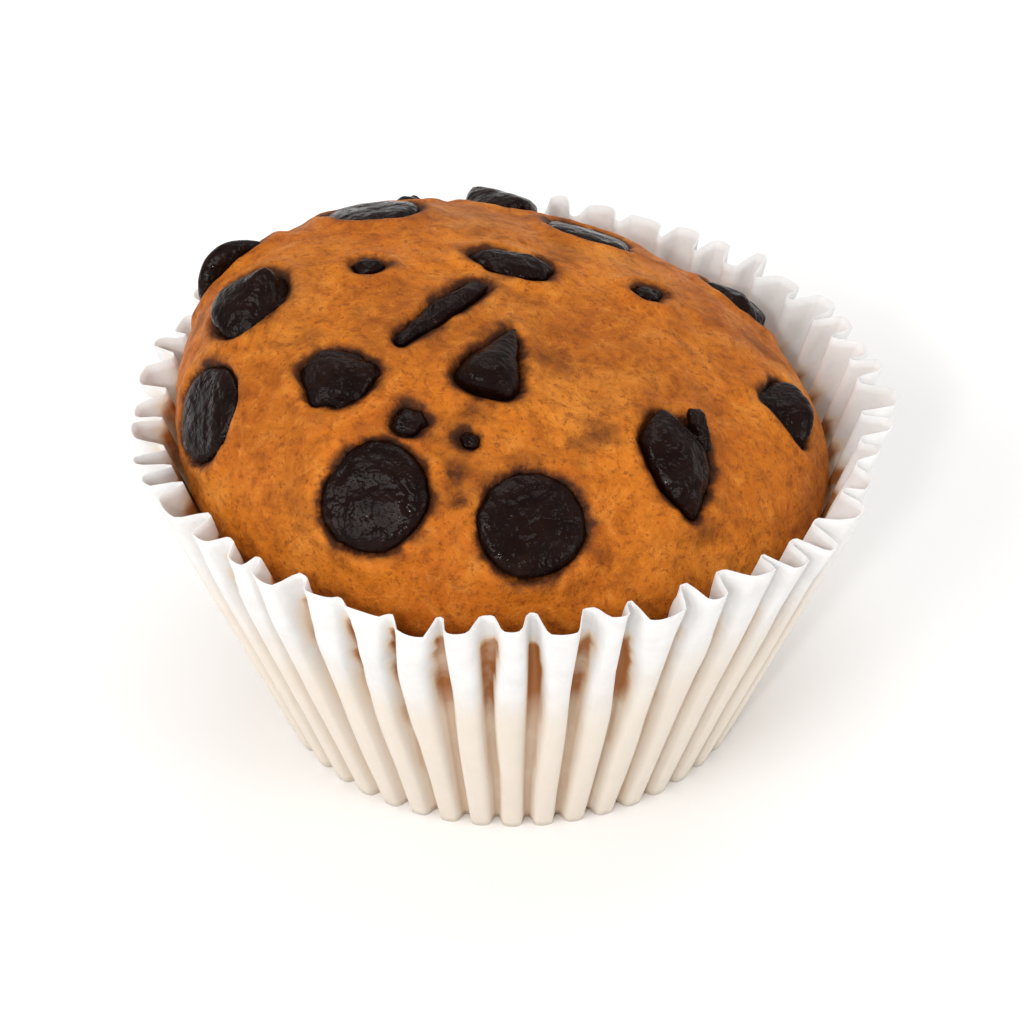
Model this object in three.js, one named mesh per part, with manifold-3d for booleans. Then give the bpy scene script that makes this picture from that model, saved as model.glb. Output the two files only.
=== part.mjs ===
// A chocolate chip muffin standing in its fluted paper baking cup.
// Millimetres, +Z up. The origin is the centre of the cup's flat foot, on the surface it stands on.
import * as THREE from 'three';
import { mergeVertices } from 'three/addons/utils/BufferGeometryUtils.js';
import Module from 'manifold-3d';

// Paper cup: the fluted wall runs between an outer and an inner cone.
const CUP_HEIGHT = 36.5;
const PAPER = 0.35;
const FLUTES = 48;
const FOOT_LOBE_RADIUS = 25.5;
const FOOT_FOLD_RADIUS = 24;
const RIM_LOBE_RADIUS = 39.6;
const RIM_FOLD_RADIUS = 36.4;
const WALL_ROWS = 2;
// The rim isn't level: it rises and falls in waves, each with a count round the cup, a height and a phase.
const RIM_WAVES = [
  { count: 5, height: 0.5, phase: 1 },
  { count: 11, height: 0.25, phase: 0 },
];
// One flute: where its corners lie along the pitch, and whether each is on the outer lobe, 1, or the fold, 0.
const FLUTE_CORNERS = [
  { along: -0.24, out: 1 },
  { along: 0.24, out: 1 },
  { along: 0.42, out: 0 },
  { along: 0.58, out: 0 },
];

// Cake: a cone that fills the cup to just below the rim, under a dome that leans to -X.
const GAP = 0.3;
const CAKE_SIDES = 60;
const FOOT_ROUNDING = 1.5;
const EDGE_HEIGHT = 31;
const EDGE_TILT = 2.4;
const DOME_HEIGHT = 21;
const DOME_LEAN = 11;
const DOME_ROWS = 12;
// The dome isn't quite round either: it swells in waves.
const SWELL_WAVES = [
  { count: 3, height: 0.5, phase: 0.6 },
  { count: 5, height: 0.3, phase: -1 },
];

// Chocolate: chips keep the teardrop they were poured as, chunks and streaks broke or melted.
const CHIP_SIDES = 12;
// A drop from the middle of its base to its tip: the share of its radius, and the share of its height.
const DROP_OUTLINE = [
  [0, 0],
  [0.88, 0],
  [1, 0.14],
  [0.9, 0.36],
  [0.56, 0.62],
  [0.22, 0.86],
  [0, 1],
];
const CHUNK_WOBBLE = 0.24;
const CHUNK_RIPPLES = { across: 5, above: 3, along: 4, bySize: 1.7 };
const CHUNK_TAPER = 0.28;
// A snapped chunk can keep a horn: its middle lies at a share of the chunk's half width, height and length.
const HORN_SIZE = [2.2, 2.4, 5.6];
const HORN_PLACE = [0.84, 0.2, -0.52];

// Each piece lies at a turn round the dome and a climb up it, in degrees. Its size is width and height, and
// length too for a chunk. It stands proud of the crust, and is tipped: how far its own axis leans from the
// crust's normal, where 0 points the tip out and 180 the flat base, then its spin about that normal.
const DROPS = [
  { name: 'chip_front_left', at: [-110.5, 33], size: [10.8, 6.6], proud: 0.6, tipped: [176, 40] },
  { name: 'chip_front_centre', at: [-80.5, 31], size: [10.6, 6.6], proud: 0.6, tipped: [177, 0] },
  { name: 'chip_upper_centre', at: [-59, 65], size: [6.8, 10], proud: 2, tipped: [80, 180] },
  { name: 'chip_left', at: [-158, 28], size: [10, 6.4], proud: 0.6, tipped: [176, 200] },
  { name: 'chip_left_top', at: [-172, 60], size: [9.6, 6.6], proud: 3.2, tipped: [24, 60] },
  { name: 'chip_left_back', at: [156, 36], size: [9.8, 6.4], proud: 2.4, tipped: [66, 150] },
  { name: 'chip_back_top', at: [112, 58], size: [10.2, 6.6], proud: 0.6, tipped: [176, 100] },
  { name: 'chip_back', at: [88, 34], size: [9.8, 6.4], proud: 3, tipped: [30, 250] },
  { name: 'chip_back_right', at: [56, 44], size: [10, 6.4], proud: 0.6, tipped: [177, 20] },
  { name: 'chip_right', at: [-8, 27], size: [9.4, 6.2], proud: 2, tipped: [74, -30] },
];
const CHUNKS = [
  { name: 'chip_upper_left', at: [-119.5, 58], size: [9, 5, 8], proud: 1.5, tipped: [6, -30] },
  { name: 'chip_in_crack', at: [-61, 78], size: [2.6, 3.2, 17], proud: 0.7, tipped: [0, -30] },
  { name: 'chip_top', at: [24, 71], size: [9.6, 3.4, 5], proud: 0.9, tipped: [0, 8] },
  { name: 'fragment_top_left', at: [170, 84], size: [3.4, 2, 2.8], proud: 0.6, tipped: [0, 15] },
  { name: 'fragment_top_right', at: [15.5, 50], size: [3.8, 2.2, 3], proud: 0.6, tipped: [0, 60] },
  { name: 'fragment_front', at: [-98.5, 52], size: [3.8, 2.2, 3.2], proud: 0.7, tipped: [0, 200] },
  { name: 'fragment_front_small', at: [-84, 49], size: [2, 1.5, 1.8], proud: 0.4, tipped: [0, 0] },
  { name: 'chip_back_left', at: [124, 24], size: [8.6, 4.8, 7.2], proud: 1.4, tipped: [10, 70] },
  { name: 'fragment_back', at: [104, 43], size: [3.6, 2.2, 3], proud: 0.6, tipped: [0, 35] },
  { name: 'chip_right_back', at: [34, 22], size: [7.6, 4.4, 9], proud: 1.3, tipped: [8, -60] },
];
const HORNED_CHUNKS = [
  { name: 'chip_right_broken', at: [-43.5, 35], size: [8.2, 5, 12.8], proud: 2.3, tipped: [4, 56] },
];

const cupPaper = new THREE.MeshStandardMaterial({ color: 0xf1eeea, roughness: 0.85, metalness: 0 });
const bakedCrust = new THREE.MeshStandardMaterial({ color: 0xb9712f, roughness: 0.7, metalness: 0 });
const darkChocolate = new THREE.MeshStandardMaterial({ color: 0x2b1612, roughness: 0.35, metalness: 0 });

const wasm = await Module();
wasm.setup();

const { lerp, degToRad } = THREE.MathUtils;

// A closed body turned from a profile that starts and ends on the axis, with each point then moved by
// place(column, row), which returns [x, y, z]. The turn closes exactly, because its last column is its first.
function turnedBody(profile, columns, place) {
  const geometry = new THREE.LatheGeometry(profile, columns);
  const position = geometry.getAttribute('position');
  for (let i = 0; i < position.count; i += 1) {
    const row = i % profile.length;
    const column = Math.floor(i / profile.length) % columns;
    position.setXYZ(i, ...place(column, row));
  }
  return geometry;
}

// Radius of the lobes and of the folds at a height: both are straight cones.
function lobeRadius(z) {
  return lerp(FOOT_LOBE_RADIUS, RIM_LOBE_RADIUS, z / CUP_HEIGHT);
}

function foldRadius(z) {
  return lerp(FOOT_FOLD_RADIUS, RIM_FOLD_RADIUS, z / CUP_HEIGHT);
}

// The middle of the paper at a height, once round the cup.
function fluteOutline(z) {
  const outline = [];
  for (let flute = 0; flute < FLUTES; flute += 1) {
    for (const corner of FLUTE_CORNERS) {
      const turn = (2 * Math.PI * (flute + corner.along)) / FLUTES;
      const radius = lerp(foldRadius(z), lobeRadius(z), corner.out);
      outline.push(new THREE.Vector2(radius * Math.cos(turn), radius * Math.sin(turn)));
    }
  }
  return outline;
}

// The same outline moved outwards by a distance, mitred at each corner.
function offsetOutline(outline, distance) {
  return outline.map((point, i) => {
    const before = outline.at(i - 1);
    const after = outline[(i + 1) % outline.length];
    const normalBefore = new THREE.Vector2(point.y - before.y, before.x - point.x).normalize();
    const normalAfter = new THREE.Vector2(after.y - point.y, point.x - after.x).normalize();
    const mitre = normalBefore.clone().add(normalAfter).divideScalar(1 + normalBefore.dot(normalAfter));
    return point.clone().addScaledVector(mitre, distance);
  });
}

function waveAt(waves, turn) {
  return waves.reduce((sum, { count, height, phase }) => sum + height * Math.sin(count * turn + phase), 0);
}

function paperCup() {
  const skinRing = (z, side) => ({ z, points: offsetOutline(fluteOutline(z), (side * PAPER) / 2) });
  const heights = Array.from({ length: WALL_ROWS + 1 }, (_, row) => (row / WALL_ROWS) * CUP_HEIGHT);
  const outside = heights.map((z) => skinRing(z, 1));
  const inside = heights.map((z) => skinRing(Math.max(z, PAPER), -1));
  const rings = [...outside, ...inside.reverse()];
  const profile = [
    new THREE.Vector2(0, 0),
    ...rings.map((ring) => new THREE.Vector2(lobeRadius(ring.z), ring.z)),
    new THREE.Vector2(0, PAPER),
  ];
  return turnedBody(profile, FLUTES * FLUTE_CORNERS.length, (column, row) => {
    if (row === 0 || row === profile.length - 1) {
      return [0, 0, profile[row].y];
    }
    const ring = rings[row - 1];
    const point = ring.points[column];
    const lift = (waveAt(RIM_WAVES, point.angle()) * ring.z) / CUP_HEIGHT;
    const raised = ring.z > PAPER ? ring.z + lift : ring.z;
    return [point.x, point.y, raised];
  });
}

// The cake stays clear of the paper's folds all the way up.
function cakeRadius(z) {
  return foldRadius(z) - PAPER / 2 - GAP;
}

function edgeHeight(turn) {
  return EDGE_HEIGHT - EDGE_TILT * Math.cos(turn);
}

// A point on the dome: climb is 0 at the cake's edge and a quarter turn at the top.
function domePoint(turn, climb) {
  const level = Math.cos(climb);
  const lift = Math.sin(climb);
  const reach = cakeRadius(edgeHeight(turn)) * level;
  const swell = level ** 2 * lift * waveAt(SWELL_WAVES, turn);
  return new THREE.Vector3(
    reach * Math.cos(turn) - DOME_LEAN * lift ** 2,
    reach * Math.sin(turn),
    EDGE_HEIGHT - EDGE_TILT * level * Math.cos(turn) + DOME_HEIGHT * lift + swell,
  );
}

function domeNormal(turn, climb) {
  const step = 0.01;
  const along = domePoint(turn + step, climb).sub(domePoint(turn - step, climb));
  const upward = domePoint(turn, climb + step).sub(domePoint(turn, climb - step));
  return along.cross(upward).normalize();
}

function cakeBody() {
  const foot = PAPER + GAP;
  const side = [
    { radius: cakeRadius(foot) - FOOT_ROUNDING, z: foot },
    { radius: cakeRadius(foot + FOOT_ROUNDING), z: foot + FOOT_ROUNDING },
  ];
  const rows = 1 + side.length + DOME_ROWS + 1;
  const profile = Array.from({ length: rows }, (_, row) => new THREE.Vector2(row % (rows - 1) ? 1 : 0, row));
  return turnedBody(profile, CAKE_SIDES, (column, row) => {
    const turn = (2 * Math.PI * column) / CAKE_SIDES;
    if (row === 0) {
      return [0, 0, foot];
    }
    if (row <= side.length) {
      const { radius, z } = side[row - 1];
      return [radius * Math.cos(turn), radius * Math.sin(turn), z];
    }
    const climb = ((row - 1 - side.length) / DOME_ROWS) * (Math.PI / 2);
    return (row === rows - 1 ? domePoint(0, Math.PI / 2) : domePoint(turn, climb)).toArray();
  });
}

// A poured chip: a flat base that rounds into a cone with a soft tip, along +Y and centred on its own height.
function dropChip([width, height], clearance) {
  const radius = width / 2 + clearance;
  const tall = height + 2 * clearance;
  const profile = DROP_OUTLINE.map(([out, up]) => new THREE.Vector2(radius * out, tall * (up - 0.5)));
  return new THREE.LatheGeometry(profile, CHIP_SIDES);
}

// A broken or melted piece: a faceted lump, narrower at one end. Its unevenness follows one rule everywhere,
// so its facets meet.
function chunkChip([width, height, length], clearance) {
  const geometry = new THREE.IcosahedronGeometry(1, 1);
  const position = geometry.getAttribute('position');
  const corner = new THREE.Vector3();
  const half = new THREE.Vector3(width, height, length).divideScalar(2).addScalar(clearance);
  const { across, above, along, bySize } = CHUNK_RIPPLES;
  for (let i = 0; i < position.count; i += 1) {
    corner.fromBufferAttribute(position, i);
    const slant = Math.sin(across * corner.x + above * corner.y + bySize * width);
    const ripple = slant * Math.cos(along * corner.z);
    corner.multiplyScalar(1 - CHUNK_WOBBLE * (0.5 + 0.5 * ripple));
    corner.x *= 1 - CHUNK_TAPER * corner.z;
    corner.multiply(half);
    position.setXYZ(i, ...corner);
  }
  return geometry;
}

// A chunk with a horn at its wide end.
function hornedChunk(size, clearance) {
  const [across, above, along] = HORN_PLACE.map((share, i) => (share * size[i]) / 2);
  const horn = chunkChip(HORN_SIZE, clearance).translate(across, above, along);
  return toGeometry(toSolid(chunkChip(size, clearance)).add(toSolid(horn)));
}

// Where a chip lies: on the dome's normal, spun and tipped, then pushed in until only its proud part shows.
function chipPlace({ shape, size, at, proud, tipped }) {
  const [turn, climb] = at.map(degToRad);
  const [lean, spin] = tipped.map(degToRad);
  const normal = domeNormal(turn, climb);
  const quaternion = new THREE.Quaternion()
    .setFromUnitVectors(new THREE.Vector3(0, 1, 0), normal)
    .multiply(new THREE.Quaternion().setFromAxisAngle(new THREE.Vector3(0, 1, 0), spin))
    .multiply(new THREE.Quaternion().setFromAxisAngle(new THREE.Vector3(1, 0, 0), lean));
  const turned = shape(size, 0).applyQuaternion(quaternion).getAttribute('position');
  let top = 0;
  for (let i = 0; i < turned.count; i += 1) {
    top = Math.max(top, new THREE.Vector3().fromBufferAttribute(turned, i).dot(normal));
  }
  const position = domePoint(turn, climb).addScaledVector(normal, proud - top);
  return { position, quaternion };
}

// Only corner positions are left, each once, and triangles that a pole squeezed flat are dropped.
function sealed(geometry) {
  const bare = geometry.clone();
  bare.deleteAttribute('normal');
  bare.deleteAttribute('uv');
  const merged = mergeVertices(bare);
  const corners = merged.getIndex().array;
  const kept = [];
  for (let i = 0; i < corners.length; i += 3) {
    const [a, b, c] = corners.slice(i, i + 3);
    if (a !== b && b !== c && c !== a) {
      kept.push(a, b, c);
    }
  }
  merged.setIndex(kept);
  return merged;
}

function toSolid(geometry) {
  const closed = sealed(geometry);
  const vertProperties = new Float32Array(closed.getAttribute('position').array);
  const triVerts = new Uint32Array(closed.getIndex().array);
  return new wasm.Manifold(new wasm.Mesh({ numProp: 3, vertProperties, triVerts }));
}

function toGeometry(solid) {
  const { vertProperties, triVerts, numProp } = solid.getMesh();
  const geometry = new THREE.BufferGeometry();
  const positions = [];
  for (let i = 0; i < vertProperties.length; i += numProp) {
    positions.push(vertProperties[i], vertProperties[i + 1], vertProperties[i + 2]);
  }
  geometry.setAttribute('position', new THREE.Float32BufferAttribute(positions, 3));
  geometry.setIndex([...triVerts]);
  geometry.computeVertexNormals();
  return geometry;
}

const CHIPS = [
  ...DROPS.map((chip) => ({ ...chip, shape: dropChip })),
  ...CHUNKS.map((chip) => ({ ...chip, shape: chunkChip })),
  ...HORNED_CHUNKS.map((chip) => ({ ...chip, shape: hornedChunk })),
];

// The cake closed round each chip as it baked, so every chip sits in a pocket of its own shape.
function pocketedCake() {
  let cake = toSolid(cakeBody());
  for (const chip of CHIPS) {
    const { position, quaternion } = chipPlace(chip);
    const pocket = chip.shape(chip.size, GAP).applyQuaternion(quaternion).translate(...position);
    cake = cake.subtract(toSolid(pocket));
  }
  return toGeometry(cake);
}

function namedMesh(name, geometry, material) {
  const mesh = new THREE.Mesh(geometry, material);
  mesh.name = name;
  return mesh;
}

const muffin = new THREE.Group();
muffin.add(namedMesh('paper_cup', sealed(paperCup()), cupPaper));
muffin.add(namedMesh('muffin_cake', pocketedCake(), bakedCrust));
for (const chip of CHIPS) {
  const { position, quaternion } = chipPlace(chip);
  const mesh = namedMesh(chip.name, sealed(chip.shape(chip.size, 0)), darkChocolate);
  mesh.position.copy(position);
  mesh.quaternion.copy(quaternion);
  muffin.add(mesh);
}

export default muffin;
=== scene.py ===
# %% [markdown]
# # A chocolate chip muffin in its paper cup
#
# The muffin is built around a fixed frame of plain solids: a cup, a cake and twenty-one pieces of
# chocolate, all at their real size. Here each of them gets its true surface: a baked crust, greaseproof
# paper and melted chocolate. Shapes are drawn in millimetres, which are easy to think in, and brought to
# metres when a piece is finished.

# %% Load the frame
import math

import bmesh
import bpy
import numpy as np
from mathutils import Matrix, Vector, noise
from mathutils.bvhtree import BVHTree


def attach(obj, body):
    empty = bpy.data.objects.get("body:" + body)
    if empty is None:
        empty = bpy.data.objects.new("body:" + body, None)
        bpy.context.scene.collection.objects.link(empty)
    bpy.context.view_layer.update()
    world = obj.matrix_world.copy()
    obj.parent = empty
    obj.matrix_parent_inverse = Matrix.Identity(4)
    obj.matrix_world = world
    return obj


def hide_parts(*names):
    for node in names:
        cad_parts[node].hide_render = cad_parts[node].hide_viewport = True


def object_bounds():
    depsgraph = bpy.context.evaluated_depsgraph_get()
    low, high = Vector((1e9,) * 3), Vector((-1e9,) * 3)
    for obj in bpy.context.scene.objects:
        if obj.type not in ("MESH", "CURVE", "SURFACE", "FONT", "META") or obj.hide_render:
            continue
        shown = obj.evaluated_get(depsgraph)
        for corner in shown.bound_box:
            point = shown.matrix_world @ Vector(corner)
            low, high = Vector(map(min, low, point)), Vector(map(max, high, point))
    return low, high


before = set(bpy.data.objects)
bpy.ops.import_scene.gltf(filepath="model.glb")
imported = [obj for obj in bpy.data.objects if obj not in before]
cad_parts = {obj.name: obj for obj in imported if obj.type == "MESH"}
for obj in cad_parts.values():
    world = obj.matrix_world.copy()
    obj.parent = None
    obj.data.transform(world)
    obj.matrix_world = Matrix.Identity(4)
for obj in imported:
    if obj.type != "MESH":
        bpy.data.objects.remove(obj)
cad_low, cad_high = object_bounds()
MM = 0.001
size = [round((high - low) / MM, 1) for low, high in zip(cad_low, cad_high)]
print("frame holds", len(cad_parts), "solids in a box of", size, "mm")

# %% [markdown]
# ## Camera, floor and light
#
# The muffin is looked at from a little above, the way it is seen in a box on a table: 36 degrees over the
# horizon and from about a forearm's length away. A long lens from there keeps the cup's taper true. The
# floor is one plain pale sheet, and the light is soft: a broad window-like panel on the left, a weaker
# one on the right, and a panel overhead, so that the flutes and the dome are modelled by gentle shade. A
# small panel in front makes the chocolate glint.

# %% Camera
CAMERA_HEIGHT_ANGLE = math.radians(36)
CAMERA_DISTANCE = 340 * MM
CAMERA_LENS = 112
SENSOR_WIDTH = 36
NEAREST_SEEN = 10 * MM
LOOK_AT = Vector((0, 0, 22 * MM))

camera_data = bpy.data.cameras.new("camera")
camera_data.lens = CAMERA_LENS
camera_data.sensor_width = SENSOR_WIDTH
camera_data.clip_start = NEAREST_SEEN
camera = bpy.data.objects.new("camera", camera_data)
bpy.context.scene.collection.objects.link(camera)
away = Vector((0, -math.cos(CAMERA_HEIGHT_ANGLE), math.sin(CAMERA_HEIGHT_ANGLE)))
camera.location = LOOK_AT + CAMERA_DISTANCE * away
camera.rotation_euler = (-away).to_track_quat("-Z", "Y").to_euler()
bpy.context.scene.camera = camera
print("camera at", [round(value, 3) for value in camera.location])

# %% Floor
FLOOR_SIZE = 6.0
FLOOR_COLOUR = (0.93, 0.93, 0.93, 1)
FLOOR_ROUGHNESS = 0.9
FLOOR_SPECULAR = 0.1

floor_shape = bmesh.new()
bmesh.ops.create_grid(floor_shape, x_segments=1, y_segments=1, size=FLOOR_SIZE / 2)
floor_mesh = bpy.data.meshes.new("floor")
floor_shape.to_mesh(floor_mesh)
floor_shape.free()
floor = bpy.data.objects.new("floor", floor_mesh)
bpy.context.scene.collection.objects.link(floor)

floor_paint = bpy.data.materials.new("pale_floor")
floor_paint.use_nodes = True
floor_shader = floor_paint.node_tree.nodes["Principled BSDF"]
floor_shader.inputs["Base Color"].default_value = FLOOR_COLOUR
floor_shader.inputs["Roughness"].default_value = FLOOR_ROUGHNESS
floor_shader.inputs["Specular IOR Level"].default_value = FLOOR_SPECULAR
floor_mesh.materials.append(floor_paint)
print("floor", FLOOR_SIZE, "m square")

# %% Lights
PANELS = [
    # name, where it stands (m), its width and height (m), its power (W)
    ("window_panel", (-0.62, -0.68, 0.62), (0.6, 0.6), 5.7),
    ("fill_panel", (0.80, -0.50, 0.45), (0.35, 0.5), 2.3),
    ("top_panel", (0.10, 0.30, 0.95), (0.8, 0.5), 3.0),
    ("glint_panel", (-0.20, -0.86, 0.58), (0.07, 0.07), 2.1),
]
ROOM_LIGHT = 0.60
ROOM_COLOUR = (1, 0.99, 0.975, 1)

for name, place, (width, height), power in PANELS:
    panel_data = bpy.data.lights.new(name, "AREA")
    panel_data.shape = "RECTANGLE"
    panel_data.size = width
    panel_data.size_y = height
    panel_data.energy = power
    panel = bpy.data.objects.new(name, panel_data)
    panel.location = place
    panel.rotation_euler = (LOOK_AT - Vector(place)).to_track_quat("-Z", "Y").to_euler()
    bpy.context.scene.collection.objects.link(panel)

world = bpy.data.worlds.new("studio")
world.use_nodes = True
world.node_tree.nodes["Background"].inputs["Color"].default_value = ROOM_COLOUR
world.node_tree.nodes["Background"].inputs["Strength"].default_value = ROOM_LIGHT
bpy.context.scene.world = world
bpy.context.scene.view_settings.view_transform = "Standard"
print(len(PANELS), "light panels")

# %% [markdown]
# ## Helpers for shapes
#
# Every piece is finished the same way: its shape comes to metres, gets its material, rides on the one
# body that a muffin is, and stands for its plain solid. Small unevenness comes from smooth noise read at
# each corner's own place, so it is the same on every run. Spinning and extruding list their faces in a
# different order each time, so those shapes are put in one fixed order before anything else is done.

# %% Finish a piece
def finished(shape, name, material, node):
    """Puts a shape drawn in millimetres into the scene, in metres, in place of its plain solid."""
    bmesh.ops.scale(shape, vec=(MM, MM, MM), verts=shape.verts)
    mesh = bpy.data.meshes.new(name)
    shape.to_mesh(mesh)
    shape.free()
    mesh.materials.append(material)
    mesh.shade_smooth()
    piece = bpy.data.objects.new(name, mesh)
    bpy.context.scene.collection.objects.link(piece)
    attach(piece, "root")
    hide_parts(node)
    return piece


def in_fixed_order(shape):
    """The same shape, its corners and faces unchanged, with the faces listed in one fixed order."""
    shape.verts.index_update()
    faces = sorted([corner.index for corner in face.verts] for face in shape.faces)
    ordered = bmesh.new()
    corners = [ordered.verts.new(corner.co) for corner in shape.verts]
    for face in faces:
        ordered.faces.new([corners[i] for i in face])
    ordered.normal_update()
    shape.free()
    return ordered


def solid_corners(node):
    """The corners of a plain solid, each once, in millimetres."""
    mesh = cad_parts[node].data
    corners = np.empty(3 * len(mesh.vertices))
    mesh.vertices.foreach_get("co", corners)
    return np.unique((corners.reshape(-1, 3) / MM).round(3), axis=0)


def bumps(place, pitch, seed):
    """Smooth unevenness between about -1 and 1, whose lumps are about pitch millimetres apart."""
    return noise.noise(Vector(place) / pitch + Vector((seed, 2 * seed, 3 * seed)))


def lumps(place, layers):
    """Unevenness of several sizes together, from the height, pitch and seed of each."""
    return sum(height * bumps(place, pitch, seed) for height, pitch, seed in layers)


def smooth_step(low, high, value):
    """0 below low, 1 above high, and an easy slope between them."""
    t = min(1.0, max(0.0, (value - low) / (high - low)))
    return t * t * (3 - 2 * t)


def bell(distance, width):
    """1 at no distance, falling softly to nothing by about twice the width."""
    return math.exp(-((distance / width) ** 2))


def moved_by(shape, move):
    """Moves every corner of a shape by move(corner), all read before any is moved."""
    shape.normal_update()
    moves = [move(corner) for corner in shape.verts]
    for corner, step in zip(shape.verts, moves):
        corner.co += step


# %% [markdown]
# ## Helpers for materials
#
# The finishes are worked out by nodes from each piece's own coordinates, and from a few values stored on
# its corners, such as how greasy the paper is there. One helper adds a node and sets its sockets by name,
# one shades between colours, one turns a pattern's height into fine relief, and one lets light into the
# surface, as it goes into crumb and paper.

# %% Material helpers
def new_finish(name, specular):
    """A material with a plain shader, ready for its patterns."""
    material = bpy.data.materials.new(name)
    material.use_nodes = True
    shader = material.node_tree.nodes["Principled BSDF"]
    shader.inputs["Specular IOR Level"].default_value = specular
    return material, material.node_tree, shader


def feed(tree, socket, value):
    """Links another node's output to a socket, or sets the socket to a number or colour."""
    if isinstance(value, bpy.types.NodeSocket):
        tree.links.new(value, socket)
    else:
        socket.default_value = value


def add(tree, kind, **sockets):
    """Adds a node and feeds its inputs by name."""
    node = tree.nodes.new(kind)
    for name, value in sockets.items():
        feed(tree, node.inputs[name.replace("_", " ")], value)
    return node


def speckle(tree, scale, detail, roughness=0.55, distortion=0.0):
    """Cloudy noise on the piece's own coordinates, with scale lumps to the metre."""
    place = add(tree, "ShaderNodeTexCoord").outputs["Object"]
    pattern = add(
        tree, "ShaderNodeTexNoise", Vector=place, Scale=scale, Detail=detail, Roughness=roughness,
        Distortion=distortion,
    )
    return pattern.outputs["Fac"]


def shaded(tree, value, *stops):
    """Turns a value into a colour through (position, colour) stops."""
    ramp = add(tree, "ShaderNodeValToRGB", Fac=value)
    while len(ramp.color_ramp.elements) < len(stops):
        ramp.color_ramp.elements.new(0.5)
    for element, (position, colour) in zip(ramp.color_ramp.elements, stops):
        element.position = position
        element.color = (*colour, 1)
    return ramp.outputs["Color"]


def between(tree, low, high, value, at_low=0.0, at_high=1.0):
    """A number that goes from at_low to at_high as the value goes from low to high."""
    node = add(
        tree, "ShaderNodeMapRange", Value=value, From_Min=low, From_Max=high, To_Min=at_low, To_Max=at_high
    )
    return node.outputs["Result"]


def mixed(tree, share, first, second):
    """Mixes two colours by a share."""
    node = tree.nodes.new("ShaderNodeMix")
    node.data_type = "RGBA"
    factor, colour_a, colour_b = node.inputs[0], node.inputs[6], node.inputs[7]
    feed(tree, factor, share)
    feed(tree, colour_a, first if isinstance(first, bpy.types.NodeSocket) else (*first, 1))
    feed(tree, colour_b, (*second, 1))
    return node.outputs[2]


def product(tree, first, second):
    """Two values multiplied."""
    node = tree.nodes.new("ShaderNodeMath")
    node.operation = "MULTIPLY"
    feed(tree, node.inputs[0], first)
    feed(tree, node.inputs[1], second)
    return node.outputs["Value"]


def stored(tree, name):
    """A value kept on the mesh's corners."""
    node = tree.nodes.new("ShaderNodeAttribute")
    node.attribute_name = name
    return node.outputs["Fac"]


def relief(tree, shader, *layers):
    """Adds fine relief: each layer is a height pattern, its strength and its depth in metres."""
    normal = None
    for height, strength, depth in layers:
        bump = add(tree, "ShaderNodeBump", Height=height, Strength=strength, Distance=depth)
        if normal is not None:
            tree.links.new(normal, bump.inputs["Normal"])
        normal = bump.outputs["Normal"]
    tree.links.new(normal, shader.inputs["Normal"])


def let_light_in(shader, weight, spread, depth):
    """Lets some light into the surface and out again, red, green and blue each by its own spread."""
    shader.inputs["Subsurface Weight"].default_value = weight
    shader.inputs["Subsurface Radius"].default_value = spread
    shader.inputs["Subsurface Scale"].default_value = depth


def store(piece, name, values):
    """Keeps one value for each corner of a piece, for its material to read."""
    attribute = piece.data.attributes.new(name, "FLOAT", "POINT")
    attribute.data.foreach_set("value", np.asarray(values, dtype=np.float32))


# %% [markdown]
# ## Chocolate finish
#
# Dark chocolate is almost black. Baked, it is dull over most of its skin, with a slight greyish bloom,
# and wet with melted fat in soft patches. So its roughness changes in clouds, and a fine relief breaks up
# the highlights into points. How much light it throws back is the same all over, so that is one number.

# %% Chocolate material
CHOCOLATE_DARK = (0.0040, 0.0011, 0.0007)
CHOCOLATE_BROWN = (0.0105, 0.0032, 0.0019)
CHOCOLATE_BLOOM = (0.040, 0.021, 0.016)
BLOOM_SHARE = 0.15
CHOCOLATE_SPECULAR = 0.09
DULL_ROUGHNESS = 0.32
FAT_ROUGHNESS = 0.09

chocolate, tree, shader = new_finish("dark_chocolate", CHOCOLATE_SPECULAR)
cloud = speckle(tree, 420, 5)
bloom = between(tree, 0.52, 0.74, speckle(tree, 210, 6, 0.6))
fat = between(tree, 0.44, 0.64, speckle(tree, 430, 3))
body_colour = shaded(tree, cloud, (0.3, CHOCOLATE_DARK), (0.7, CHOCOLATE_BROWN))
colour = mixed(tree, product(tree, bloom, BLOOM_SHARE), body_colour, CHOCOLATE_BLOOM)
feed(tree, shader.inputs["Base Color"], colour)
feed(tree, shader.inputs["Roughness"], between(tree, 0, 1, fat, DULL_ROUGHNESS, FAT_ROUGHNESS))
relief(
    tree, shader,
    (speckle(tree, 380, 2), 0.7, 0.0007),
    (speckle(tree, 1000, 2), 0.7, 0.0004),
)
print("chocolate finish ready")

# %% [markdown]
# ## Chocolate chips
#
# A baking chip is poured as a drop: a flat base that rounds into a cone with a soft tip. Some lie base
# outwards and show a dark disc, some lie on their side or tip out. Each one's axis is read off its plain
# solid: of its three directions, it is the one whose spread is unlike the other two, which are alike
# because a drop is round. The tip is the end that narrows to a point.

# %% Find each chip's axis
WHOLE_DROPS = (
    "chip_front_left", "chip_front_centre", "chip_upper_centre", "chip_left", "chip_left_top",
    "chip_left_back", "chip_back_top", "chip_back", "chip_back_right", "chip_right",
)
chocolate_nodes = sorted(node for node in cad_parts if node.startswith(("chip_", "fragment_")))
BROKEN_PIECES = tuple(node for node in chocolate_nodes if node not in WHOLE_DROPS)
END_DEPTH = 0.1


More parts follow.
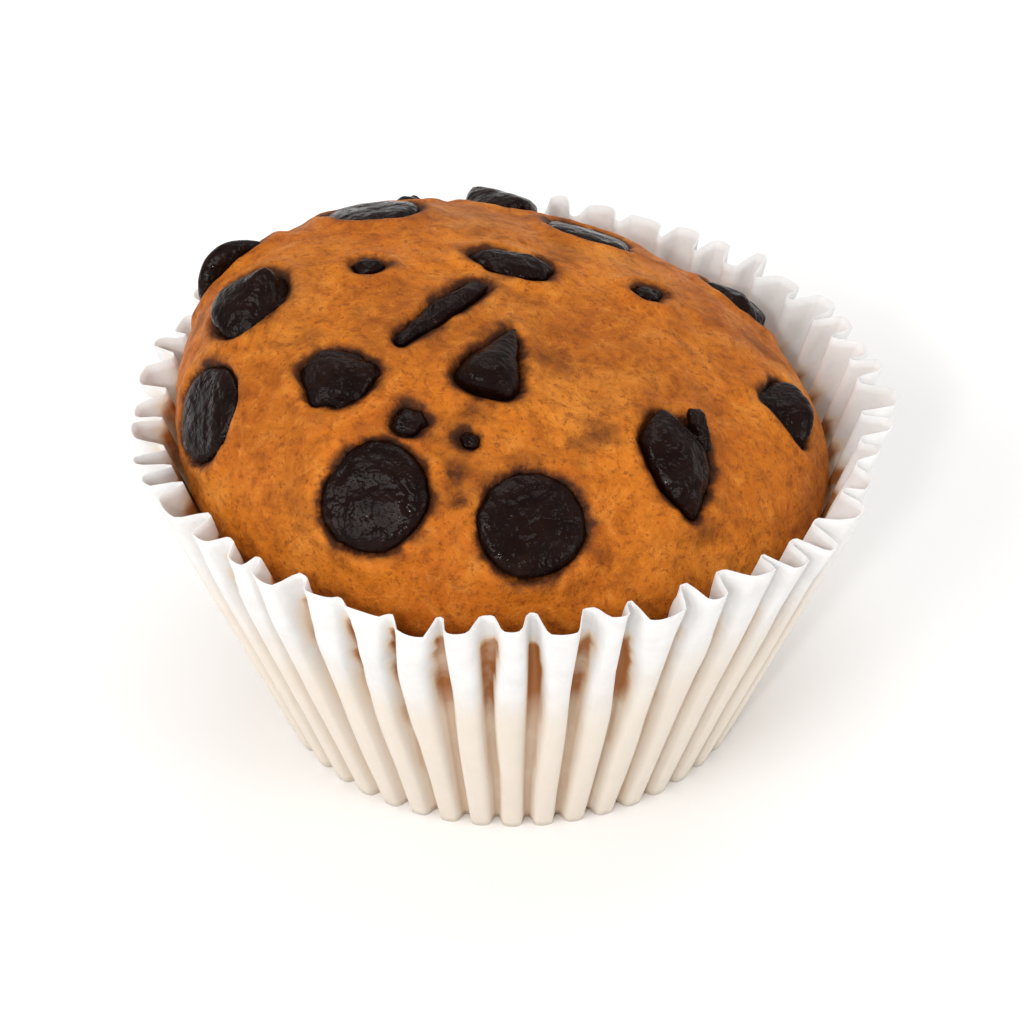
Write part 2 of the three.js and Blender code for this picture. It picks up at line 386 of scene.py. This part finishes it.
def drop_axis(corners):
    """Base centre, unit axis towards the tip, radius and height of a drop, from its solid's corners."""
    centre = corners.mean(axis=0)
    (low, middle, high), directions = np.linalg.eigh(np.cov((corners - centre).T))
    axis = directions[:, 0 if middle - low > high - middle else 2]
    along = (corners - centre) @ axis
    across = np.linalg.norm(corners - centre - np.outer(along, axis), axis=1)
    top, bottom = along > along.max() - END_DEPTH, along < along.min() + END_DEPTH
    if across[top].max() > across[bottom].max():
        axis, along = -axis, -along
    base = centre + axis * along.min()
    return Vector(base), Vector(axis), float(across.max()), float(np.ptp(along))


print(len(WHOLE_DROPS), "whole drops and", len(BROKEN_PIECES), "broken pieces")

# %% [markdown]
# The outline of half a drop is a short chain of corners, filled in by a smooth curve through them.
# Spinning it a full turn makes the closed drop. Its base is a little crowned, so that its edge lies level
# with the crust.

# %% Spin a drop
DROP_OUTLINE = [
    # share of the radius, share of the height
    (0, 0), (0.45, 0.012), (0.78, 0.04), (0.93, 0.085), (1, 0.17), (0.97, 0.28),
    (0.8, 0.45), (0.54, 0.64), (0.32, 0.81), (0.15, 0.93), (0, 1),
]
DROP_TURNS = 72
OUTLINE_STEPS = 34
SEAM_MERGE = 1e-4


def smooth_chain(corners, steps):
    """Points at even steps along a smooth curve through the corners."""
    corners = np.array(corners, dtype=float)
    lengths = np.r_[0, np.cumsum(np.linalg.norm(np.diff(corners, axis=0), axis=1))]
    ends = np.vstack([2 * corners[0] - corners[1], corners, 2 * corners[-1] - corners[-2]])
    points = []
    for length in np.linspace(0, lengths[-1], steps + 1):
        i = min(int(np.searchsorted(lengths, length, side="right")) - 1, len(corners) - 2)
        t = (length - lengths[i]) / (lengths[i + 1] - lengths[i])
        before, start, end, after = ends[i:i + 4]
        linear = (end - before) * t
        square = (2 * before - 5 * start + 4 * end - after) * t**2
        cube = (3 * start - before - 3 * end + after) * t**3
        points.append(0.5 * (2 * start + linear + square + cube))
    return points


def spun_drop(radius, height):
    """A drop of chocolate along +Z with its base at the origin, in millimetres."""
    drop = bmesh.new()
    chain = [
        drop.verts.new((max(0.0, out) * radius, 0, up * height))
        for out, up in smooth_chain(DROP_OUTLINE, OUTLINE_STEPS)
    ]
    edges = [drop.edges.new(pair) for pair in zip(chain, chain[1:])]
    bmesh.ops.spin(
        drop, geom=chain + edges, cent=(0, 0, 0), axis=(0, 0, 1), angle=2 * math.pi,
        steps=DROP_TURNS, use_merge=True,
    )
    bmesh.ops.remove_doubles(drop, verts=drop.verts, dist=SEAM_MERGE)
    drop = in_fixed_order(drop)
    bmesh.ops.recalc_face_normals(drop, faces=drop.faces)
    return drop


# %% [markdown]
# In the oven a drop sags to one side, its rim wavers, its base dents and its tip curls over. So no two of
# them stay alike.

# %% Slump the drops
SAG = 0.30
SAG_SPREAD = 1.3
NEAR_AXIS = 0.02
DENT = 0.12
BIG_DENT_PITCH = 1.6
SMALL_DENT_PITCH = 0.7
WARP_PITCH = 3
CURL = 0.9
DROP_SEED_STEP = 1.7


def slumped(drop, radius, height, seed):
    """Softens a spun drop as baking does."""
    def move(corner):
        place = corner.co
        outward = Vector((place.x, place.y, 0))
        rim = outward.length / radius
        up = place.z / height
        side = outward.normalized() if rim > NEAR_AXIS else outward
        sag = SAG * bumps(side * SAG_SPREAD, 1.0, seed) * rim
        dent = DENT * (bumps(place, BIG_DENT_PITCH, seed + 4) + bumps(place, SMALL_DENT_PITCH, seed + 9) / 3)
        step = corner.normal * dent + outward.normalized() * sag
        step.z += 0.5 * DENT * bumps(place, WARP_PITCH, seed + 14)
        return step + CURL * up**2 * Vector((math.cos(seed), math.sin(seed), 0))

    moved_by(drop, move)


drops = []
for number, node in enumerate(WHOLE_DROPS):
    base, axis, radius, height = drop_axis(solid_corners(node))
    drop = spun_drop(radius, height)
    slumped(drop, radius, height, DROP_SEED_STEP * number)
    turn = axis.to_track_quat("Z", "Y").to_matrix()
    bmesh.ops.rotate(drop, cent=(0, 0, 0), matrix=turn, verts=drop.verts)
    bmesh.ops.translate(drop, vec=base, verts=drop.verts)
    drops.append(finished(drop, node + "_chocolate", chocolate, node))
print("spun", len(drops), "drops")

# %% [markdown]
# Broken pieces keep the flat, sharp breaks of snapped chocolate on some sides and have melted round on
# others. Each starts as a copy of its faceted solid, is subdivided, has its edges softened, and is pushed
# in and out by ridged unevenness.

# %% Broken pieces
CHUNK_CUTS = 5
CHUNK_SMOOTHINGS = 2
RIDGE_HEIGHT = 0.22
RIDGE_PITCH = 2.6
PIT_DEPTH = 0.08
PIT_PITCH = 0.8
CHUNK_SEED_STEP = 2.3
CORNER_MERGE = 1e-3


def broken_piece(node, seed):
    """A chunk of chocolate from a copy of its faceted solid, with rounded corners and a rough break."""
    chunk = bmesh.new()
    chunk.from_mesh(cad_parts[node].data)
    bmesh.ops.scale(chunk, vec=(1 / MM,) * 3, verts=chunk.verts)
    bmesh.ops.remove_doubles(chunk, verts=chunk.verts, dist=CORNER_MERGE)
    bmesh.ops.subdivide_edges(chunk, edges=chunk.edges, cuts=CHUNK_CUTS, use_grid_fill=True)
    for _ in range(CHUNK_SMOOTHINGS):
        bmesh.ops.smooth_vert(
            chunk, verts=chunk.verts, factor=0.5, use_axis_x=True, use_axis_y=True, use_axis_z=True
        )

    def move(corner):
        ridge = 1 - abs(bumps(corner.co, RIDGE_PITCH, seed)) * 2
        pit = bumps(corner.co, PIT_PITCH, seed + 5)
        return corner.normal * (RIDGE_HEIGHT * ridge + PIT_DEPTH * pit)

    moved_by(chunk, move)
    return chunk


chunks = []
for number, node in enumerate(BROKEN_PIECES):
    chunk = broken_piece(node, CHUNK_SEED_STEP * number)
    chunks.append(finished(chunk, node + "_chocolate", chocolate, node))
print("broke", len(chunks), "pieces")

# %% [markdown]
# ## The cake
#
# The cake is one baked piece: a cone that filled the cup, under a dome that rose, leaned to one side and
# set. Its measures are the plain solid's own, so that the crust closes round every piece of chocolate
# where it lies.

# %% The cake's measures
PAPER_SOLID = 0.35
GAP = 0.3
CUP_HEIGHT = 36.5
FOOT_FOLD_RADIUS = 24.0
RIM_FOLD_RADIUS = 36.4
FOOT_LOBE_RADIUS = 25.5
RIM_LOBE_RADIUS = 39.6
EDGE_HEIGHT = 31.0
EDGE_TILT = 2.4
DOME_HEIGHT = 21.0
DOME_LEAN = 11.0
SWELL = 0.5
FOOT = PAPER_SOLID + GAP


def fold_radius(z):
    """Radius of the paper's inner folds at a height."""
    return FOOT_FOLD_RADIUS + (RIM_FOLD_RADIUS - FOOT_FOLD_RADIUS) * z / CUP_HEIGHT


def cake_radius(z):
    """Radius of the cake's side at a height, clear of the folds."""
    return fold_radius(z) - PAPER_SOLID / 2 - GAP


def dome_point(turn, climb):
    """A point on the dome: climb is 0 at the cake's edge and a quarter turn at the top."""
    level, lift = math.cos(climb), math.sin(climb)
    edge = EDGE_HEIGHT - EDGE_TILT * math.cos(turn)
    reach = cake_radius(edge) * level
    swell = SWELL * level**2 * lift * (math.sin(3 * turn + 0.6) + 0.6 * math.sin(5 * turn - 1))
    return Vector((
        reach * math.cos(turn) - DOME_LEAN * lift**2,
        reach * math.sin(turn),
        EDGE_HEIGHT - EDGE_TILT * level * math.cos(turn) + DOME_HEIGHT * lift + swell,
    ))


solid_top = solid_corners("muffin_cake")[:, 2].max()
dome_top = max(dome_point(math.pi, math.radians(degrees)).z for degrees in range(91))
print("cake top", round(solid_top, 2), "mm on the plain solid and", round(dome_top, 2), "mm here")

# %% [markdown]
# A fine ball of triangles is the best start for the cake, because its corners are spread evenly and it
# has no seam. Most of it becomes the dome, where the detail is, and the rest becomes the side and the
# foot that the paper hides.

# %% Ball to cake
BALL_CUTS = 7
DOME_SHARE = 0.70
SIDE_SHARE = 0.88
FOOT_ROUNDING = 1.5
ROUNDING_SHARE = 0.3


def cake_place(direction):
    """Where a corner of a unit ball goes on the cake."""
    turn = math.atan2(direction.y, direction.x)
    down = math.acos(max(-1.0, min(1.0, direction.z))) / math.pi
    if down < DOME_SHARE:
        return dome_point(turn, (1 - down / DOME_SHARE) * math.pi / 2)
    edge = EDGE_HEIGHT - EDGE_TILT * math.cos(turn)
    if down < SIDE_SHARE:
        z = edge + (FOOT + FOOT_ROUNDING - edge) * (down - DOME_SHARE) / (SIDE_SHARE - DOME_SHARE)
        reach = cake_radius(z)
    else:
        inward = (down - SIDE_SHARE) / (1 - SIDE_SHARE)
        corner = min(1.0, inward / ROUNDING_SHARE) * math.pi / 2
        z = FOOT + FOOT_ROUNDING * (1 - math.sin(corner))
        reach = cake_radius(FOOT + FOOT_ROUNDING) - FOOT_ROUNDING * (1 - math.cos(corner))
        if inward > ROUNDING_SHARE:
            reach *= (1 - inward) / (1 - ROUNDING_SHARE)
    return Vector((reach * math.cos(turn), reach * math.sin(turn), z))


cake = bmesh.new()
bmesh.ops.create_icosphere(cake, subdivisions=BALL_CUTS, radius=1)
for corner in cake.verts:
    corner.co = cake_place(corner.co)
print("cake has", len(cake.faces), "faces")

# %% [markdown]
# The crust isn't smooth. It has broad swells, fine lumps and small dimples where bubbles closed, it dips
# at the edge of every chip, and it stands up in a soft lip round it, where the batter rose past the
# chocolate. Each of these is a small move along the crust's own direction. The dip and the lip depend on
# how far away the nearest chocolate is, so that is found first.

# %% How far is the chocolate
def joined_surface(pieces):
    """The surface of several pieces together, in millimetres, for asking how far away it is."""
    corners, faces = [], []
    for piece in pieces:
        first = len(corners)
        corners += [corner.co / MM for corner in piece.data.vertices]
        faces += [[first + i for i in face.vertices] for face in piece.data.polygons]
    return BVHTree.FromPolygons(corners, faces)


all_chocolate = joined_surface(drops + chunks)


def chip_distance(place):
    """How far a place is from the nearest chocolate, in millimetres: less than nothing inside it."""
    spot, outward, _, distance = all_chocolate.find_nearest(place)
    if (place - spot).dot(outward) >= 0:
        return distance
    _, exit_face, _, _ = all_chocolate.ray_cast(place, outward)
    return -distance if exit_face is not None and exit_face.dot(outward) > 0 else distance


print("middle of the cake to the nearest chip:", round(chip_distance(Vector((0, 0, 30))), 1), "mm")

# %% Crust relief
SWELLS = [
    # height, pitch and seed of each size of lump
    (0.36, 9.0, 3.1), (0.20, 3.6, 7.7), (0.11, 1.5, 1.3),
]
DIMPLE_PITCH = 5.2
DIMPLE_DEPTH = 0.28
DIMPLE_WIDTH = 0.16
LIP_HEIGHT = 0.50
LIP_REACH = 1.2
LIP_WIDTH = 1.0
GROOVE_DEPTH = 0.38
GROOVE_WIDTH = 0.35
UNDER_CHIP = 0.5
PAPER_CLEARANCE = 0.45
CRUST_STARTS = EDGE_HEIGHT - 3
CRUST_FULL = EDGE_HEIGHT + 1.5


def crust_move(place):
    """How far the crust stands out at a place, in millimetres."""
    swell = lumps(place, SWELLS)
    (cell, *_), _ = noise.voronoi(place / DIMPLE_PITCH)
    edge = chip_distance(place)
    groove = GROOVE_DEPTH * bell(max(0.0, edge), GROOVE_WIDTH)
    lip = LIP_HEIGHT * bell(edge - LIP_REACH, LIP_WIDTH) - groove
    dimple = DIMPLE_DEPTH * bell(cell, DIMPLE_WIDTH)
    return swell - dimple + lip - UNDER_CHIP * min(1.0, max(0.0, -edge))


def on_crust(corner):
    """The move of one corner of the cake: only the dome has a crust."""
    on_dome = smooth_step(CRUST_STARTS, CRUST_FULL, corner.co.z)
    return corner.normal * (crust_move(corner.co) * on_dome if on_dome else 0.0)


moved_by(cake, on_crust)
for corner in cake.verts:
    reach = math.hypot(corner.co.x, corner.co.y)
    room = fold_radius(corner.co.z) - PAPER_CLEARANCE
    if corner.co.z < CUP_HEIGHT and reach > room:
        corner.co.xy *= room / reach
print("crust has its relief")

# %% [markdown]
# ## Crust finish
#
# Baked crust is golden orange with browner clouds, fine dark specks and a few paler ones. Chocolate
# stains the crumb next to it: first brown, then nearly black. The crust is satin rather than matt,
# because fat comes up through it, and a little light goes in and comes out again, which keeps the shadows
# warm.

# %% Crust material
CRUST_GOLD = (0.560, 0.162, 0.010)
CRUST_AMBER = (0.455, 0.112, 0.006)
CRUST_BROWN = (0.170, 0.036, 0.004)
CRUST_PALE = (0.71, 0.265, 0.038)
STAIN_BROWN = (0.105, 0.026, 0.003)
STAIN_BLACK = (0.020, 0.006, 0.002)
CRUST_SPECULAR = 0.13
CRUST_GLOSSIEST = 0.44
CRUST_DULLEST = 0.66

crust, tree, shader = new_finish("baked_crust", CRUST_SPECULAR)
broad = speckle(tree, 70, 4, 0.6)
blotch = speckle(tree, 240, 6, 0.7, 0.6)
grain = speckle(tree, 700, 5, 0.75, 0.4)
fine = speckle(tree, 1700, 3, 0.7)
colour = shaded(tree, broad, (0.34, CRUST_AMBER), (0.56, CRUST_GOLD), (0.80, CRUST_PALE))
colour = mixed(tree, stored(tree, "browning"), colour, CRUST_BROWN)
TINTS = [
    # pattern, where it starts and is full, how strongly it tints, and the tint
    (blotch, 0.50, 0.70, 0.60, CRUST_BROWN),
    (blotch, 0.46, 0.28, 0.60, CRUST_PALE),
    (grain, 0.51, 0.68, 0.60, CRUST_BROWN),
    (grain, 0.45, 0.30, 0.45, CRUST_PALE),
    (fine, 0.56, 0.66, 0.60, CRUST_BROWN),
]
for pattern, start, full, strength, tint in TINTS:
    colour = mixed(tree, between(tree, start, full, pattern, 0, strength), colour, tint)
ragged = between(tree, 0.1, 0.55, speckle(tree, 520, 5, 0.7))
stain = product(tree, stored(tree, "stain"), ragged)
colour = mixed(tree, between(tree, 0.0, 0.6, stain), colour, STAIN_BROWN)
colour = mixed(tree, between(tree, 0.5, 0.95, stain), colour, STAIN_BLACK)
feed(tree, shader.inputs["Base Color"], colour)
feed(tree, shader.inputs["Roughness"], between(tree, 0.3, 0.7, blotch, CRUST_GLOSSIEST, CRUST_DULLEST))
let_light_in(shader, 0.10, (1.0, 0.4, 0.15), 0.0014)
relief(
    tree, shader,
    (blotch, 0.6, 0.0007),
    (grain, 0.6, 0.00045),
    (fine, 0.5, 0.00022),
)
print("crust finish ready")

# %% [markdown]
# The cake baked shut round every piece, so each of them cuts its own pocket out of it. The cuts are made
# once and kept, and the new edges stay sharp.

# %% Cut the pockets
SHARP_ANGLE = math.radians(50)

cake_piece = finished(cake, "cake_crust_and_crumb", crust, "muffin_cake")
for chip in drops + chunks:
    cut = cake_piece.modifiers.new("pocket", "BOOLEAN")
    cut.operation = "DIFFERENCE"
    cut.solver = "MANIFOLD"
    cut.object = chip
scene_state = bpy.context.evaluated_depsgraph_get()
carved = bpy.data.meshes.new_from_object(cake_piece.evaluated_get(scene_state))
cake_piece.modifiers.clear()
cake_piece.data = carved
carved.set_sharp_from_angle(angle=SHARP_ANGLE)
print("cake has", len(carved.polygons), "faces after", len(drops) + len(chunks), "pockets")

# %% [markdown]
# Chocolate has run a little way into the crust round each piece, in a ragged edge, and there are smears
# of it on the crust and just under it. The top of the dome is browner than its sides.

# %% Stains and browning
STAIN_REACH = 0.85
STAIN_LEAST_REACH = 0.12
STAIN_DARKEST = 0.97
STAIN_MARGIN = 0.1
SMEAR_LEAST_RAG = 0.3
RAG_MIDDLE = 0.9
RAG = [
    # height, pitch and seed of each size of raggedness at a stain's edge
    (1.1, 4.5, 6.7), (0.8, 2.2, 9.1), (0.5, 0.9, 3.3),
]
BROWN_CLOUDS = [
    # height, pitch and seed of each size of cloud
    (1.0, 13, 5.5), (0.4, 4, 2.5),
]
SIDE_BROWNING = 0.10
TOP_BROWNING = 0.26
BROWNS_FROM = 38
BROWNEST_FROM = 49
STAINS = [
    # turn and climb in degrees, radius in millimetres, how dark
    (-92, 41, 1.5, 0.70), (-92, 35, 1.6, 0.85), (-90, 29, 1.4, 0.80), (-70, 30, 0.9, 1.0),
    (-51, 46, 2.3, 0.48), (-59, 45, 1.8, 0.40), (-80, 54, 1.9, 0.55), (-73, 56, 1.5, 0.45),
    (-42, 62, 1.7, 0.45), (-51, 22, 1.5, 0.50), (-126, 26, 2.4, 0.20), (-136, 66, 3.4, 0.32),
    (-22, 40, 2.4, 0.22), (12, 30, 2.2, 0.35), (40, 58, 2.6, 0.32), (72, 24, 2.0, 0.40),
    (100, 30, 2.4, 0.32), (135, 50, 2.6, 0.35), (176, 34, 2.0, 0.40), (-170, 20, 1.8, 0.30),
]
smears = [
    (dome_point(math.radians(turn), math.radians(climb)), radius, dark)
    for turn, climb, radius, dark in STAINS
]


def stain_at(place):
    """How much chocolate has run into the crust at a place."""
    rag = RAG_MIDDLE + lumps(place, RAG)
    width = max(STAIN_LEAST_REACH, STAIN_REACH * rag)
    strongest = STAIN_DARKEST * bell(max(0.0, chip_distance(place) - STAIN_MARGIN), width)
    for centre, radius, dark in smears:
        distance = (place - centre).length
        if distance < 3 * radius:
            strongest = max(strongest, dark * bell(distance, radius * max(SMEAR_LEAST_RAG, rag)))
    return strongest


def browning_at(place):
    """How brown the oven has made the crust at a place: most on the top, in clouds."""
    cloud = smooth_step(-0.3, 0.6, lumps(place, BROWN_CLOUDS))
    return cloud * (SIDE_BROWNING + TOP_BROWNING * smooth_step(BROWNS_FROM, BROWNEST_FROM, place.z))


carved_corners = [corner.co / MM for corner in carved.vertices]
stains = [stain_at(place) for place in carved_corners]
store(cake_piece, "stain", stains)
store(cake_piece, "browning", [browning_at(place) for place in carved_corners])
print("stained", sum(value > 0.5 for value in stains), "of", len(stains), "corners")

# %% [markdown]
# ## Paper finish
#
# Greaseproof paper is white and matt, and slightly see-through. Where the cake lies against it, fat soaks
# in and the crumb shows through as brown stripes in the folds, and the lower wall turns cream. The narrow
# inner folds are also darkened there with painted shade. A stored value says how greasy each place is,
# with that painted fold shade added in.

# %% Paper material
PAPER_WHITE = (0.76, 0.75, 0.74)
PAPER_SHADE = (0.69, 0.675, 0.66)
PAPER_CREAM = (0.72, 0.60, 0.47)
PAPER_FOLD_STAIN_AND_SHADE = (0.36, 0.130, 0.030)
PAPER_SPECULAR = 0.25
DRY_ROUGHNESS = 0.85
SOAKED_ROUGHNESS = 0.5

paper, tree, shader = new_finish("greaseproof_paper", PAPER_SPECULAR)
grease_and_fold_shade = stored(tree, "grease_and_fold_shade")
patchy = between(tree, 0.2, 0.5, speckle(tree, 160, 5))
colour = shaded(tree, speckle(tree, 300, 6, 0.65), (0.3, PAPER_SHADE), (0.6, PAPER_WHITE))
# cream and brown follow the stored grease value, which in the inner folds also carries painted shade
colour = mixed(tree, between(tree, 0.0, 0.5, grease_and_fold_shade), colour, PAPER_CREAM)
colour = mixed(tree, product(tree, between(tree, 0.45, 0.9, grease_and_fold_shade), patchy), colour, PAPER_FOLD_STAIN_AND_SHADE)
feed(tree, shader.inputs["Base Color"], colour)
feed(tree, shader.inputs["Roughness"], between(tree, 0, 1, grease_and_fold_shade, DRY_ROUGHNESS, SOAKED_ROUGHNESS))
let_light_in(shader, 0.25, (1.0, 0.9, 0.8), 0.0006)
relief(
    tree, shader,
    (speckle(tree, 220, 4, 0.6), 0.25, 0.0004),
    (speckle(tree, 1800, 3), 0.2, 0.00008),
)
print("paper finish ready")

# %% [markdown]
# ## The paper cup
#
# The cup is one round sheet pressed into flutes: broad rounded lobes outside and narrow pinched folds
# inside. No two flutes are alike: they waver in depth and width, lean a little, and some near the front
# left have been pressed flat, so the rim runs unevenly.

# %% Flutes
FLUTES = 48
LOBE_EDGE = 0.23
FOLD_EDGE = 0.43
LOBE_CROWN = 0.10
WAVER = 0.34
WIDENING = 0.05
DEPTH_SHARE = 0.95
DEPTH_CHANGE = 0.20
FLUTTER = 0.25
RIM_WAVE = 0.5
LOBE_RISE = 0.8
RIM_START = 0.78
TRAIT_STEP = 0.731
TRAIT_GAIN = 1.8
PRESSED = [
    # turn in degrees, how wide in degrees, how much of the flutes' depth is lost at the rim
    (-134, 7, 0.55),
    (-112, 9, 0.85),
    (-22, 8, 0.3),
    (70, 12, 0.35),
    (160, 8, 0.4),
]


def flute_trait(number, seed):
    """A fixed number between about -1 and 1 for one flute."""
    return noise.noise(Vector((number * TRAIT_STEP + 0.3, seed * 3.37, 0.5))) * TRAIT_GAIN


def flute_wave(turn, up):
    """How far out the paper lies at a turn, 0 on a fold and 1 on a lobe, and the flute's number."""
    waver = WAVER * up * bumps((math.cos(turn) * 9, math.sin(turn) * 9, up * 2), 1.0, 2.2)
    place = turn * FLUTES / (2 * math.pi) + waver
    number = math.floor(place + 0.5) % FLUTES
    off_centre = abs(place - math.floor(place + 0.5))
    widen = WIDENING * flute_trait(number, 1) * up
    crown = LOBE_CROWN * max(0.0, 1 - (off_centre / LOBE_EDGE) ** 2)
    return 1 - smooth_step(LOBE_EDGE + widen, FOLD_EDGE + widen / 2, off_centre) + crown, number


def pressed_flat(turn):
    """How much of the flutes' depth is lost at the rim, at a turn."""
    lost = 0.0
    for centre, width, share in PRESSED:
        off = (math.degrees(turn) - centre + 180) % 360 - 180
        lost = max(lost, share * bell(off, width))
    return lost


def wall_place(turn, up):
    """A point on the middle of the paper: up is 0 at the foot and 1 at the rim."""
    wave, number = flute_wave(turn, up)
    fold = fold_radius(up * CUP_HEIGHT)
    lobe = FOOT_LOBE_RADIUS + (RIM_LOBE_RADIUS - FOOT_LOBE_RADIUS) * up
    free = smooth_step(RIM_START, 1.0, up)
    flat = pressed_flat(turn) * free
    depth = (lobe - fold) * (1 - flat) * (DEPTH_SHARE + DEPTH_CHANGE * flute_trait(number, 2) * up)
    flutter = FLUTTER * free * bumps((turn * 6, up * 3, 1), 1.0, 6.1)
    reach = fold + (lobe - fold) * 0.5 * flat + depth * wave + flutter
    rim_wave = RIM_WAVE * (math.sin(5 * turn + 1) + 0.5 * math.sin(11 * turn))
    rise = free * (rim_wave + LOBE_RISE * flute_trait(number, 3) * wave)
    return Vector((reach * math.cos(turn), reach * math.sin(turn), up * CUP_HEIGHT + rise))


print("flutes are", round(2 * math.pi * RIM_LOBE_RADIUS / FLUTES, 1), "mm apart at the rim")

# %% [markdown]
# A circle is filled for the foot and its edge is pulled up the wall ring by ring. Each ring's corners are
# then moved in and out by the flute's wave.

# %% Pull up the wall
COLUMNS_PER_FLUTE = 14
WALL_ROWS = 36
PAPER_VISIBLE = 0.12

wall = bmesh.new()
bmesh.ops.create_circle(
    wall, cap_ends=True, cap_tris=True, segments=FLUTES * COLUMNS_PER_FLUTE, radius=FOOT_LOBE_RADIUS
)
ring = [edge for edge in wall.edges if edge.is_boundary]
for _ in range(WALL_ROWS):
    grown = bmesh.ops.extrude_edge_only(wall, edges=ring)["geom"]
    ring = [item for item in grown if isinstance(item, bmesh.types.BMEdge) and item.is_boundary]
    raised = [item for item in grown if isinstance(item, bmesh.types.BMVert)]
    bmesh.ops.translate(wall, vec=(0, 0, CUP_HEIGHT / WALL_ROWS), verts=raised)
wall = in_fixed_order(wall)
bmesh.ops.recalc_face_normals(wall, faces=wall.faces)
for corner in wall.verts:
    # the one corner in the middle of the foot stays where it is
    if corner.co.xy.length > 1:
        corner.co = wall_place(math.atan2(corner.co.y, corner.co.x), corner.co.z / CUP_HEIGHT)
    corner.co.z = max(corner.co.z, PAPER_VISIBLE / 2)
print("cup wall and foot have", len(wall.faces), "faces")

cup_piece = finished(wall, "fluted_cup_wall_and_foot", paper, "paper_cup")

# %% [markdown]
# The fat is soaked up in the folds, where the paper touches the cake, from a little under the cake's edge
# downwards. Lower down it has spread evenly and faded. The value in the folds is also painted shade for
# those narrow recesses, and it grows towards the rim.

# %% Grease and painted fold shade in the paper
SPREAD_GREASE = 0.34
FOLD_GREASE_AND_SHADE = 0.58
FOOT_FLUTE_DEPTH = FOOT_LOBE_RADIUS - FOOT_FOLD_RADIUS
RIM_FLUTE_DEPTH = RIM_LOBE_RADIUS - RIM_FOLD_RADIUS


def grease_and_fold_shade_at(place):
    """How greasy the paper is at a place, in millimetres, with painted shade added in the inner folds."""
    reach = math.hypot(place.x, place.y)
    up = place.z / CUP_HEIGHT
    flute_depth = FOOT_FLUTE_DEPTH + (RIM_FLUTE_DEPTH - FOOT_FLUTE_DEPTH) * up
    outward = (reach - fold_radius(place.z)) / flute_depth
    # the inner folds get painted shade along with their grease
    in_fold = 1 - smooth_step(0.20, 0.5, outward)
    cake_edge = EDGE_HEIGHT - EDGE_TILT * place.x / max(1.0, reach)
    under_rim = 1 - smooth_step(0.5, 2.5, place.z - cake_edge + 1.5 * bumps(place, 2.5, 4.4))
    rise = smooth_step(0.45, 0.75, up + 0.15 * bumps(place, 5, 1.4))
    lower = SPREAD_GREASE * (1 - smooth_step(0.5, 0.85, up + 0.12 * bumps(place, 12, 8.8)))
    return max(lower, in_fold * under_rim * (FOLD_GREASE_AND_SHADE + (1 - FOLD_GREASE_AND_SHADE) * rise))


store(cup_piece, "grease_and_fold_shade", [grease_and_fold_shade_at(corner.co / MM) for corner in cup_piece.data.vertices])
thickness = cup_piece.modifiers.new("paper_thickness", "SOLIDIFY")
thickness.thickness = PAPER_VISIBLE * MM
thickness.offset = 0
print("cup paper is", PAPER_VISIBLE, "mm thick")

# %% [markdown]
# ## Last step
#
# The scene is brought up to date once more.

# %% Update the scene
bpy.context.view_layer.update()
